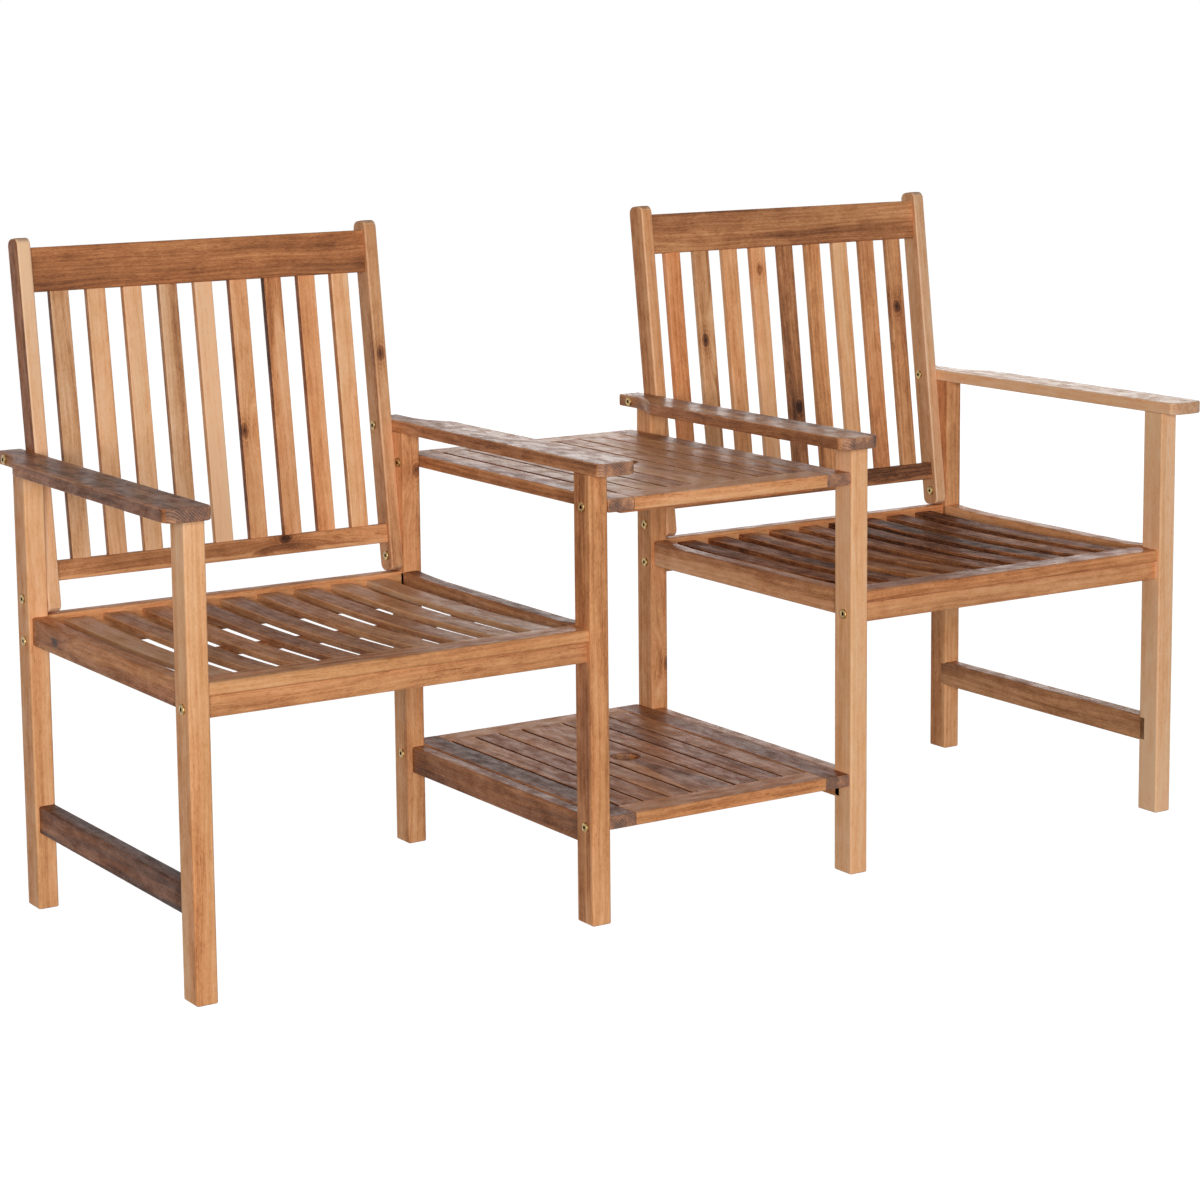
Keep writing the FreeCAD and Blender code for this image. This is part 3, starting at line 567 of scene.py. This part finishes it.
def make_wood(name, figure, pores, film, matt=0.0):
    """Acacia for one kind of board: how strong its figure and pores are, how oily it is, and how matt."""
    material, tree = new_material(name)
    kinds = {"Grain": "Vector", "Knot": "Vector", "Board": "Vector", "Heart": "Fac", "Worn": "Fac",
             "Cut": "Fac"}
    fields = {label: add(tree, "ShaderNodeAttribute", _attribute_name=label.lower()).outputs[kind]
              for label, kind in kinds.items()}
    wood = add(tree, "ShaderNodeGroup", _node_tree=ACACIA, Figure=figure, Pores=pores, Film=film, **fields)
    bump = add(tree, "ShaderNodeBump", Strength=0.35, Distance=0.0006, Height=wood.outputs["Height"])
    shader = add(tree, "ShaderNodeBsdfPrincipled", Base_Color=wood.outputs["Color"],
                 Roughness=calc(tree, "ADD", wood.outputs["Roughness"], matt), Specular_IOR_Level=0.12,
                 Coat_Weight=wood.outputs["Film"], Coat_Roughness=0.24, Normal=bump.outputs[0])
    show(tree, shader)
    return material


def make_brass():
    """Yellow zinc plate: rubbed bright with darker, greener patches."""
    material, tree = new_material("brass")
    place = add(tree, "ShaderNodeTexCoord").outputs["Object"]
    hollow = add(tree, "ShaderNodeAttribute", _attribute_name="hollow").outputs["Fac"]
    patch = noise(tree, place, (260.0, 260.0, 260.0), 3.0, 0.6)
    scuff = noise(tree, place, (1500.0, 1500.0, 1500.0), 2.0, 0.5)
    tint = blend(tree, span(tree, patch, 0.35, 0.68), colour(204, 174, 118), colour(132, 106, 70))
    # socket faces painted near-black: painted shade in the hex socket
    tint = blend(tree, hollow, tint, colour(34, 28, 22))
    bump = add(tree, "ShaderNodeBump", Strength=0.2, Distance=0.0002, Height=scuff)
    shader = add(tree, "ShaderNodeBsdfPrincipled", Base_Color=tint, Metallic=1.0,
                 Roughness=span(tree, scuff, 0.3, 0.7, 0.24, 0.42), Normal=bump.outputs[0])
    show(tree, shader)
    return material


ACACIA = make_acacia()
FRAME_WOOD = make_wood("frame_wood", 1.1, 0.7, 0.06)
ARM_WOOD = make_wood("armrest_wood", 1.1, 1.0, 0.20)
SLAT_WOOD = make_wood("slat_wood", 1.25, 0.8, 0.03)
PANEL_WOOD = make_wood("panel_wood", 1.1, 1.2, 0.12)
SHELF_WOOD = make_wood("shelf_wood", 1.1, 1.2, 0.03, 0.06)
SEAT_WOODS = {"left_chair": make_wood("left_seat_wood", 1.1, 1.2, 0.03),
              "right_chair": make_wood("right_seat_wood", 1.5, 1.2, 0.03, 0.25)}
BRASS = make_brass()


# Boards with a knot or heartwood
KNOTS = {"left_inner_back_leg": (0.91, 0.8, 0.1), "right_inner_back_leg": (0.35, 0.9, 0.1),
         "left_outer_seat_side_rail": (0.82, 0.1, 0.5), "left_chair_right_back_post": (0.62, 0.5, 0.1),
         "left_chair_back_bottom_rail": (0.68, 0.0, 0.85)}
HEARTS = {"right_inner_seat_side_rail": ("z", 0.5, 1), "left_inner_front_leg": ("y", 0.3, 1),
          "left_outer_stretcher": ("z", 0.35, -1), "left_chair_back_bottom_rail": ("z", 0.22, 1),
          "right_chair_back_bottom_rail": ("z", 0.22, 1)}


def plank(node, axis, edge, material, slot, ends=0.0, **tone):
    """Plain board in the place of one node."""
    low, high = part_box(node)
    board = timber(node + "_wood", low, high, axis, edge, ends, **tone)
    finish([board], node + "_wood", material, slot, node)


# Side frames

def make_leg(node, tone, grey):
    low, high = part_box(node)
    leg = timber(node + "_wood", low, high, "z", LEG_EDGE, tone=tone, red=0.2, grey=grey,
                 knot=KNOTS.get(node), heart=HEARTS.get(node))
    round_edges(leg, SAWN_EDGE, lambda e: lies_at(e, "z", low[2]), 1)
    finish([leg], node + "_wood", FRAME_WOOD, "frame_wood", node)


def stands_at(edge, x, y):
    """True for an upright edge at a place in the plan."""
    middle = middle_of(edge)
    return runs(edge, "z") and abs(middle.x - x) < 1e-4 and abs(middle.y - y) < 1e-4


def rims(edge, z):
    """True for an edge round a level face at a height."""
    return lies_at(edge, "z", z) and len(edge.link_faces) == 2 and edge.calc_face_angle() > 0.5


def make_armrest(side, tone, grey):
    """Board that draws in with a curved step to a narrow tongue behind the back leg."""
    node = side + "_armrest"
    low, high = (Vector(corner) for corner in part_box(node))
    way = SIDES[side][1]
    outer_x, seat_x = (low.x, high.x) if way > 0 else (high.x, low.x)
    step_end = ARM_STEP_Y + ARM_STEP_RUN
    arm = box(node + "_wood", low, high)
    edit(arm)
    for y in (ARM_STEP_Y, step_end):
        bpy.ops.mesh.select_all(action="SELECT")
        bpy.ops.mesh.bisect(plane_co=(0, y, 0), plane_no=(0, 1, 0))
    pick(arm, "VERT", lambda v: v.co.y > step_end - 1e-4 and abs(v.co.x - outer_x) < 1e-4)
    bpy.ops.transform.translate(value=(way * ARM_NARROWING, 0, 0))
    done()
    corners = ((outer_x, low.y, ARM_CORNER, 8), (seat_x, low.y, ARM_INNER_CORNER, 6),
               (outer_x, ARM_STEP_Y, ARM_CURVE_OUT, 6),
               (outer_x + way * ARM_NARROWING, step_end, ARM_CURVE_IN, 12))
    for x, y, radius, segments in corners:
        round_edges(arm, radius, lambda e: stands_at(e, x, y), segments)
    round_edges(arm, ARM_TAIL_CORNER, lambda e: runs(e, "z") and lies_at(e, "y", high.y, 1e-4))
    round_edges(arm, ARM_TOP_EDGE, lambda e: rims(e, high.z))
    round_edges(arm, ARM_LOW_EDGE, lambda e: rims(e, low.z), 2)
    grow(arm, "y", node, tone=tone, red=0.25, grey=grey)
    finish([arm], node + "_wood", ARM_WOOD, "frame_wood", node)


def scoop(rail, low, high):
    """Draw the top of a seat rail down between the legs, in a curve that is shorter at the front."""
    first, last = low[1] + TENON, high[1] - TENON
    cut_rows(rail, 31)
    for y in rows_of(rail):
        before, after = first + SCOOP_FRONT - y, y - last + SCOOP_BACK
        fall = SCOOP
        if before > 0:
            fall = SCOOP * max(0.0, 1 - (before / SCOOP_FRONT) ** 2)
        elif after > 0:
            fall = SCOOP * max(0.0, 1 - (after / SCOOP_BACK) ** 2)
        lift_row(rail, y, -fall, high[2] - SCOOP_REACH)
    done()


def make_seat_side_rail(node, tone, grey):
    low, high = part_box(node)
    rail = timber(node + "_wood", low, high, "y", tone=tone, red=0.3, grey=grey, knot=KNOTS.get(node),
                  heart=HEARTS.get(node))
    scoop(rail, low, high)
    finish([rail], node + "_wood", FRAME_WOOD, "frame_wood", node)


# How dark and how grey each board of a side frame is: front leg, back leg, armrest, seat rail, stretcher
SIDE_BOARDS = {
    "left_outer": ((0.32, -0.4), (0.38, -0.1), (0.72, -1.0), (0.66, -0.7), (1.08, -0.7)),
    "left_inner": ((0.47, -0.1), (0.46, 0.25), (0.53, 0.3), (0.74, 0.8), (0.86, 0.5)),
    "right_inner": ((0.16, -0.2), (0.40, 0.1), (0.55, 0.6), (0.33, 0.5), (0.58, 0.3)),
    "right_outer": ((0.06, 0.2), (0.52, 0.2), (-0.13, 0.1), (0.55, 0.3), (0.62, 0.8))}

for side, (front_leg, back_leg, armrest, seat_rail, (tone, grey)) in SIDE_BOARDS.items():
    make_leg(side + "_front_leg", *front_leg)
    make_leg(side + "_back_leg", *back_leg)
    make_armrest(side, *armrest)
    make_seat_side_rail(side + "_seat_side_rail", *seat_rail)
    plank(side + "_stretcher", "y", RAIL_EDGE, FRAME_WOOD, "frame_wood", tone=tone, red=0.3, grey=grey,
          heart=HEARTS.get(side + "_stretcher"))


# Chairs

def seat_top(y):
    """Height of the slat tops: a shallow dip between the front board and the back rail."""
    across = (y - SEAT_FRONT_Y) / (SEAT_BACK_Y - SEAT_FRONT_Y)
    chord = SEAT_FRONT_Z + (SEAT_BACK_Z - SEAT_FRONT_Z) * across
    middle = (SEAT_FRONT_Z + SEAT_BACK_Z) / 2
    return chord - (middle - SEAT_DIP_Z) * 4 * across * (1 - across)


def long_corner(edge):
    """True for a corner along a bent slat."""
    return abs(middle_of(edge).y - edge.verts[0].co.y) > 1e-4 and edge.calc_face_angle() > 1.0


def make_seat_slat(name, centre, **tone):
    """Thin board, made flat and bent row by row to the dip of the seat."""
    slat = box(name, (centre - SEAT_SLAT_W / 2, SEAT_SLAT_FRONT, FLAT_Z),
               (centre + SEAT_SLAT_W / 2, SEAT_SLAT_BACK, FLAT_Z + SEAT_SLAT_T))
    cut_rows(slat, 9)
    for y in rows_of(slat):
        lift_row(slat, y, seat_top(y) - FLAT_Z - SEAT_SLAT_T)
    done()
    round_edges(slat, SLAT_EDGE, long_corner)
    return grow(slat, "y", name, **tone)


def centres(start, end, width):
    """Middles of a row of slats with even gaps."""
    gap = (end - start - SLAT_COUNT * width) / (SLAT_COUNT + 1)
    return [start + gap * (k + 1) + width * (k + 0.5) for k in range(SLAT_COUNT)]


def lean_back(piece):
    """Tip a backrest piece about the lower bolt of its posts."""
    bolt = Vector((0, POST_Y, LOW_BOLT_Z))
    turn = Matrix.Translation(bolt) @ Matrix.Rotation(-LEAN, 4, "X") @ Matrix.Translation(-bolt)
    piece.matrix_world = turn @ piece.matrix_world
    apply_place(piece)
    return piece


def along_post(z):
    """Place along a post, before it leans, that comes to a height."""
    return LOW_BOLT_Z + (z - LOW_BOLT_Z) / math.cos(LEAN)


def make_post(name, x0, x1, **tone):
    """Back post with round ends."""
    post = box(name, (x0, POST_Y - POST_DEPTH / 2, along_post(POST_LOW)),
               (x1, POST_Y + POST_DEPTH / 2, along_post(POST_HIGH)))
    round_edges(post, POST_ROUND, lambda e: runs(e, "x"), 6)
    round_edges(post, RAIL_EDGE, lambda e: e.calc_face_angle() > 1.0)
    grow(post, "z", name, **tone)
    return lean_back(post)


def make_seat(chair, x0, x1):
    """Front board, apron and back rail, and the slats between them on a batten."""
    for part, edge in SEAT_EDGES.items():
        tone, grey = CHAIR_BOARDS[chair][part]
        plank(f"{chair}_{part}", "x", edge, FRAME_WOOD, "frame_wood", tone=tone, red=BOARD_REDS[chair],
              grey=grey)
    node = chair + "_seat_batten"
    low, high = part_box(node)
    top = seat_top(low[1]) - SEAT_SLAT_T
    batten = timber(node + "_wood", low, (high[0], high[1], top), "x", SLAT_EDGE, tone=0.5, red=0.3)
    finish([batten], node + "_wood", FRAME_WOOD, "frame_wood", node)
    slats = []
    for k, x in enumerate(centres(x0, x1, SEAT_SLAT_W)):
        tone, grey = SEAT_SLAT_TONES[chair][k]
        slats.append(make_seat_slat(f"{chair}_seat_slat_{k}", x, tone=tone, red=0.2, grey=grey))
    finish(slats, chair + "_seat_slats_wood", SEAT_WOODS[chair], "slat_wood", chair + "_seat_slats")


def make_backrest(chair, x0, x1):
    """Two posts with two rails between them, and upright slats in the rails."""
    boards = CHAIR_BOARDS[chair]
    left, right = x0 + POST_W, x1 - POST_W
    for side, a, b in (("left", x0, left), ("right", right, x1)):
        node = f"{chair}_{side}_back_post"
        tone, grey = boards[side + "_post"]
        post = make_post(node + "_wood", a, b, tone=tone, red=0.35, grey=grey,
                         sides=POST_SIDE_SHADE.get(node, 0.0), knot=KNOTS.get(node))
        finish([post], node + "_wood", FRAME_WOOD, "frame_wood", node)

    y0, y1 = POST_Y - BACK_RAIL_DEPTH / 2, POST_Y + BACK_RAIL_DEPTH / 2
    crown, foot = along_post(TOP_RAIL_TOP), along_post(BOTTOM_RAIL_LOW)
    rails = (("top", crown - TOP_RAIL_H, crown, 0.3), ("bottom", foot, foot + BOTTOM_RAIL_H, 0.2))
    for part, z0, z1, red in rails:
        node = f"{chair}_back_{part}_rail"
        tone, grey = boards[part]
        rail = timber(f"{chair}_{part}", (left, y0, z0), (right, y1, z1), "x", tone=tone, red=red, grey=grey,
                      knot=KNOTS.get(node), heart=HEARTS.get(node))
        finish([lean_back(rail)], node + "_wood", FRAME_WOOD, "frame_wood", node)

    z0, z1 = foot + BOTTOM_RAIL_H - BACK_SLAT_SINK, crown - TOP_RAIL_H + BACK_SLAT_SINK
    slats = []
    for k, x in enumerate(centres(left, right, BACK_SLAT_W)):
        tone, red, grey = BACK_SLAT_TONES[chair][k]
        low = (x - BACK_SLAT_W / 2, POST_Y - BACK_SLAT_T / 2, z0)
        high = (x + BACK_SLAT_W / 2, POST_Y + BACK_SLAT_T / 2, z1)
        slat = timber(f"{chair}_back_slat_{k}", low, high, "z", BACK_SLAT_EDGE, tone=tone, red=red, grey=grey,
                      sides=SLAT_SIDE_SHADE[chair], knot=BACK_SLAT_KNOTS.get((chair, k)),
                      heart=BACK_SLAT_HEARTS.get((chair, k)))
        slats.append(lean_back(slat))
    finish(slats, chair + "_back_slats_wood", SLAT_WOOD, "slat_wood", chair + "_back_slats")


# How dark, how red and how grey the back slats are, from left to right, and which have a knot or heartwood
BACK_SLAT_TONES = {
    "left_chair": [
        (0.29, 0.45, 0.95), (0.33, 0.3, 0.35), (0.14, 0.2, 0.3), (0.30, 0.2, 0.95), (-0.12, 0.3, 0.1),
        (0.24, 0.4, 0.1), (0.39, 0.5, 0.3), (0.31, 0.5, 0.1), (0.19, 0.2, -0.15)],
    "right_chair": [
        (0.48, 0.7, -0.1), (0.32, 0.1, 0.5), (0.33, 0.35, -0.4), (0.23, 0.45, -0.5), (0.71, 0.4, 0.6),
        (0.55, 0.35, -0.1), (0.14, 0.3, -0.2), (0.42, 0.6, 0.2), (0.52, 0.2, 0.35)]}
BACK_SLAT_KNOTS = {("left_chair", 5): (0.42, 0.15, 0.1), ("right_chair", 1): (0.62, 0.3, 0.1),
                   ("right_chair", 3): (0.9, 0.5, 0.1), ("right_chair", 4): (0.3, 0.6, 0.1),
                   ("right_chair", 8): (0.7, 0.4, 0.1)}
BACK_SLAT_HEARTS = {("left_chair", 3): ("x", 0.5, 1), ("left_chair", 6): ("z", 0.62, 1),
                    ("right_chair", 1): ("x", 0.78, 1)}
# How dark and how grey the seat slats are, from left to right
SEAT_SLAT_TONES = {
    "left_chair": [
        (0.21, 0.5), (0.40, 0.3), (0.36, 0.2), (0.49, 0.4), (0.55, 0.8), (0.48, 0.6), (0.39, 0.6),
        (0.33, 0.8), (0.25, 1.1)],
    "right_chair": [
        (0.61, -0.6), (0.72, -0.5), (0.63, -0.6), (0.70, -0.4), (0.59, -0.5), (0.74, -0.5), (0.84, -0.9),
        (0.82, -0.8), (0.93, -0.8)]}
# How dark and how grey the other boards of a chair are
CHAIR_BOARDS = {
    "left_chair": {"front_board": (0.42, -0.1), "front_apron": (0.37, 0.15), "back_rail": (0.46, 0.0),
                   "left_post": (-0.19, 0.3), "right_post": (0.33, 0.8), "top": (0.87, 0.3),
                   "bottom": (0.34, 0.25)},
    "right_chair": {"front_board": (0.74, 0.2), "front_apron": (0.57, 0.45), "back_rail": (0.48, 0.0),
                    "left_post": (0.16, 0.3), "right_post": (0.07, 0.8), "top": (0.68, 0.45),
                    "bottom": (0.67, 0.6)}}
BOARD_REDS = {"left_chair": 0.2, "right_chair": 0.45}
# How much darker than the board its narrow sides are: painted shade, and painted light where the number is
# below 0
SLAT_SIDE_SHADE = {"left_chair": 0.42, "right_chair": -0.10}
POST_SIDE_SHADE = {"left_chair_left_back_post": 0.85, "right_chair_left_back_post": 0.08,
              "right_chair_right_back_post": 0.15}
PANEL_SIDE_SHADE = 0.4

for chair, (x0, x1) in CHAIRS.items():
    make_seat(chair, x0, x1)
    make_backrest(chair, x0, x1)


# Table top and shelf

def in_hole(place):
    """True for a place in the umbrella hole or on its wall."""
    return math.hypot(place[0], place[1] - MIDDLE_Y) < HOLE_D / 2 + 1e-4


def make_middle_board(name, wood, low, high, tone, grey):
    """Board with the umbrella hole through it."""
    board = box(name + "_middle", low, high)
    round_edges(board, SAWN_EDGE, lambda e: runs(e, "y"))
    carve(board, rod((0, MIDDLE_Y, low[2] - DRILL_BELOW), (0, 0, 1), DRILL_L, HOLE_D, 64))
    round_edges(board, HOLE_EDGE, lambda e: all(in_hole(v.co) for v in e.verts) and not runs(e, "z"), 2)
    grow(board, "y", name, tone=tone, red=0.2, grey=grey, sides=PANEL_SIDE_SHADE)
    for mark, face in zip(board.data.attributes["board"].data, board.data.polygons):
        if in_hole(face.center):
            mark.vector = HOLE_BOARD
    finish([board], name + "_middle_board_wood", wood, "panel_wood", name + "_middle_board")


def make_panel(name, wood, tone, stile_tone, rail_tone, grey):
    """Stiles and rails round a middle board and slats, with cleats below. The tones say how dark they are."""
    for side in ("left", "right"):
        plank(f"{name}_{side}_stile", "y", STILE_EDGE, wood, "panel_wood", STILE_END_EDGE, tone=stile_tone,
              red=0.2, grey=grey)
    for side in ("front", "back"):
        plank(f"{name}_{side}_rail", "x", PANEL_RAIL_EDGE, wood, "panel_wood", tone=rail_tone, red=0.3,
              grey=-0.3)
    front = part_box(name + "_front_rail")[1][1]
    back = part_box(name + "_back_rail")[0][1]
    low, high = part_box(name + "_middle_board")
    make_middle_board(name, wood, (low[0], front, low[2]), (high[0], back, high[2]), tone, grey)
    slats = []
    draw = random.Random(name)
    for k in range(3):
        near = MIDDLE_BOARD_W / 2 + SLOT + k * (PANEL_SLAT_W + SLOT)
        far = near + PANEL_SLAT_W
        for x0, x1 in ((near, far), (-far, -near)):
            slat_tone = tone + draw.uniform(-0.08, 0.08)
            slats.append(timber(f"{name}_slat_{k}_{x0 > 0}", (x0, front, low[2]), (x1, back, high[2]), "y",
                                SAWN_EDGE, tone=slat_tone, red=draw.uniform(0.1, 0.4), grey=grey,
                                sides=PANEL_SIDE_SHADE))
    finish(slats, name + "_slats_wood", wood, "panel_wood", name + "_slats")
    low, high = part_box(name + "_cleats")
    cleats = []
    for k, y0 in enumerate((low[1], high[1] - CLEAT_W)):
        cleats.append(timber(f"{name}_cleat_{k}", (low[0], y0, low[2]), (high[0], y0 + CLEAT_W, high[2]), "x",
                             SAWN_EDGE, tone=0.6, red=0.8))
    finish(cleats, name + "_cleats_wood", wood, "panel_wood", name + "_cleats")


make_panel("table", PANEL_WOOD, 0.51, 0.41, 0.50, 0.1)
make_panel("shelf", SHELF_WOOD, 0.66, 0.70, 0.42, -0.2)


# Bolts and nuts

def make_head(name):
    """Bolt head that faces +X at the origin: a flat disc with a rounded rim and a six-sided socket."""
    head = rod((0, 0, 0), (1, 0, 0), HEAD_T, HEAD_D, 32)
    head.name = name
    round_edges(head, HEAD_EDGE, lambda e: lies_at(e, "x", HEAD_T))
    corners = HEX_AF / math.cos(math.radians(30))
    carve(head, rod((HEAD_T - HEX_DEPTH, 0, 0), (1, 0, 0), 2 * HEX_DEPTH, corners, 6))
    mesh = head.data
    # marks the socket's faces, which the brass paints near-black as painted shade
    hollow = new_fields(mesh, "FACE", hollow="FLOAT")["hollow"]
    for mark, face in zip(hollow, mesh.polygons):
        reach = max(math.hypot(mesh.vertices[k].co.y, mesh.vertices[k].co.z) for k in face.vertices)
        mark.value = 1.0 if reach < SOCKET_REACH and abs(face.center.x) > 1e-5 else 0.0
    return head


def bolt(place, way, reach, diameter=SHANK_D):
    """Head at a place, and a shank from it that goes into the wood along +X or -X."""
    return [copy_of(pattern, place, -way), rod(place, (way, 0, 0), reach, diameter)]


pattern = make_head("head_pattern")
rail_bolts, back_bolts, panel_bolts, sleeves = [], [], [], []
for side, (face, way) in SIDES.items():
    outer = face - way * LEG_W
    for y in (FRONT_BOLT_Y, BACK_BOLT_Y):
        rail_bolts += bolt((outer, y, RAIL_BOLT_Z), way, RAIL_BOLT_L)
    for x, y, z, reach in ((outer, BACK_BOLT_Y, LOW_BOLT_Z, LOW_BOLT_L),
                           (face - way * TONGUE_W, ARM_BOLT_Y, ARM_BOLT_Z, ARM_BOLT_L)):
        back_bolts += bolt((x, y, z), way, reach)
        sleeves += bolt((face + way * POST_W, y, z), -way, SLEEVE_L, SLEEVE_D)
    if "inner" in side:
        for y, z in ((FRONT_BOLT_Y, TABLE_BOLT_Z), (BACK_BOLT_Y - TABLE_BOLT_FORWARD, TABLE_BOLT_Z),
                     (FRONT_BOLT_Y, SHELF_BOLT_Z), (BACK_BOLT_Y, SHELF_BOLT_Z)):
            panel_bolts += bolt((face, y, z), -way, PANEL_BOLT_L)
only(pattern)
bpy.ops.object.delete()
hold(rail_bolts, "seat_rail_bolts_metal", "seat_rail_bolts")
hold(back_bolts, "backrest_bolts_metal", "backrest_bolts")
hold(panel_bolts, "panel_bolts_metal", "panel_bolts")
hold(sleeves, "sleeve_nuts_metal", "sleeve_nuts")

# barrel nuts keep their CAD shape: only their flat ends show, under the stiles and inside the rails
dress(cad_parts["barrel_nuts"], BRASS)


# Studio: pale floor, white surround, soft light from the front

def looked_at(tree):
    """1 for light on its way to the eye, straight or by a reflection, and 0 for light on its way to wood."""
    path = add(tree, "ShaderNodeLightPath").outputs
    straight = calc(tree, "MAXIMUM", path["Is Camera Ray"], path["Is Glossy Ray"])
    return calc(tree, "MAXIMUM", straight, path["Is Transmission Ray"])


def make_floor():
    bpy.ops.object.select_all(action="DESELECT")
    bpy.ops.mesh.primitive_plane_add(size=60, location=(0, 0, -0.0005))
    floor = bpy.context.object
    floor.name = "floor"
    material, tree = new_material("floor")
    strength = calc(tree, "MULTIPLY", looked_at(tree), 0.975)
    glow = add(tree, "ShaderNodeEmission", Color=(1, 1, 1, 1), Strength=strength)
    matt = add(tree, "ShaderNodeBsdfDiffuse", Color=(0.3, 0.3, 0.3, 1))
    show(tree, add(tree, "ShaderNodeAddShader", i0=glow.outputs[0], i1=matt.outputs[0]))
    floor.data.materials.append(material)


def make_surround():
    """White where it is looked at; as a light, soft and brighter towards the horizon."""
    world = bpy.data.worlds.new("surround")
    bpy.context.scene.world = world
    world.use_nodes = True
    tree = world.node_tree
    tree.nodes.clear()
    way = add(tree, "ShaderNodeSeparateXYZ", i0=add(tree, "ShaderNodeTexCoord").outputs["Generated"]).outputs
    soft = span(tree, way[2], 0.0, 0.8, 0.30, 0.10)
    strength = calc(tree, "MAXIMUM", looked_at(tree), soft)
    show(tree, add(tree, "ShaderNodeBackground", Color=(1, 1, 1, 1), Strength=strength), "World")


def make_lamp(name, place, aim, size, power):
    bpy.ops.object.light_add(type="AREA", location=place)
    lamp = bpy.context.object
    lamp.name = name
    lamp.data.shape = "RECTANGLE"
    lamp.data.size, lamp.data.size_y = size
    lamp.data.energy = power
    lamp.rotation_euler = (Vector(aim) - Vector(place)).to_track_quat("-Z", "Y").to_euler()
    return lamp


def make_camera():
    yaw, pitch, roll = 0.57050, -0.14365, -0.01028
    ahead = Vector((math.sin(yaw) * math.cos(pitch), math.cos(yaw) * math.cos(pitch), math.sin(pitch)))
    level = Vector((math.cos(yaw), -math.sin(yaw), 0))
    upright = level.cross(ahead)
    right = level * math.cos(roll) + upright * math.sin(roll)
    up = upright * math.cos(roll) - level * math.sin(roll)
    bpy.ops.object.camera_add(location=(-2.39347, -3.64588, 1.23569))
    camera = bpy.context.object
    camera.rotation_euler = Matrix((right, up, -ahead)).transposed().to_euler()
    camera.data.sensor_width = 36
    camera.data.lens = 90.52
    camera.data.shift_x = 0.01224
    camera.data.shift_y = -0.125
    camera.data.clip_end = 100
    bpy.context.scene.camera = camera


make_floor()
make_surround()
make_lamp("front_light", (-4.8, -8.3, 1.9), (0, 0, 0.5), (4.5, 3.2), 620)
back_light = make_lamp("back_light", (4.1, 4.7, 1.55), (0, 0, 0.6), (3.0, 1.2), 36)
back_light.visible_camera = False
make_camera()
bpy.context.scene.view_settings.view_transform = "Standard"
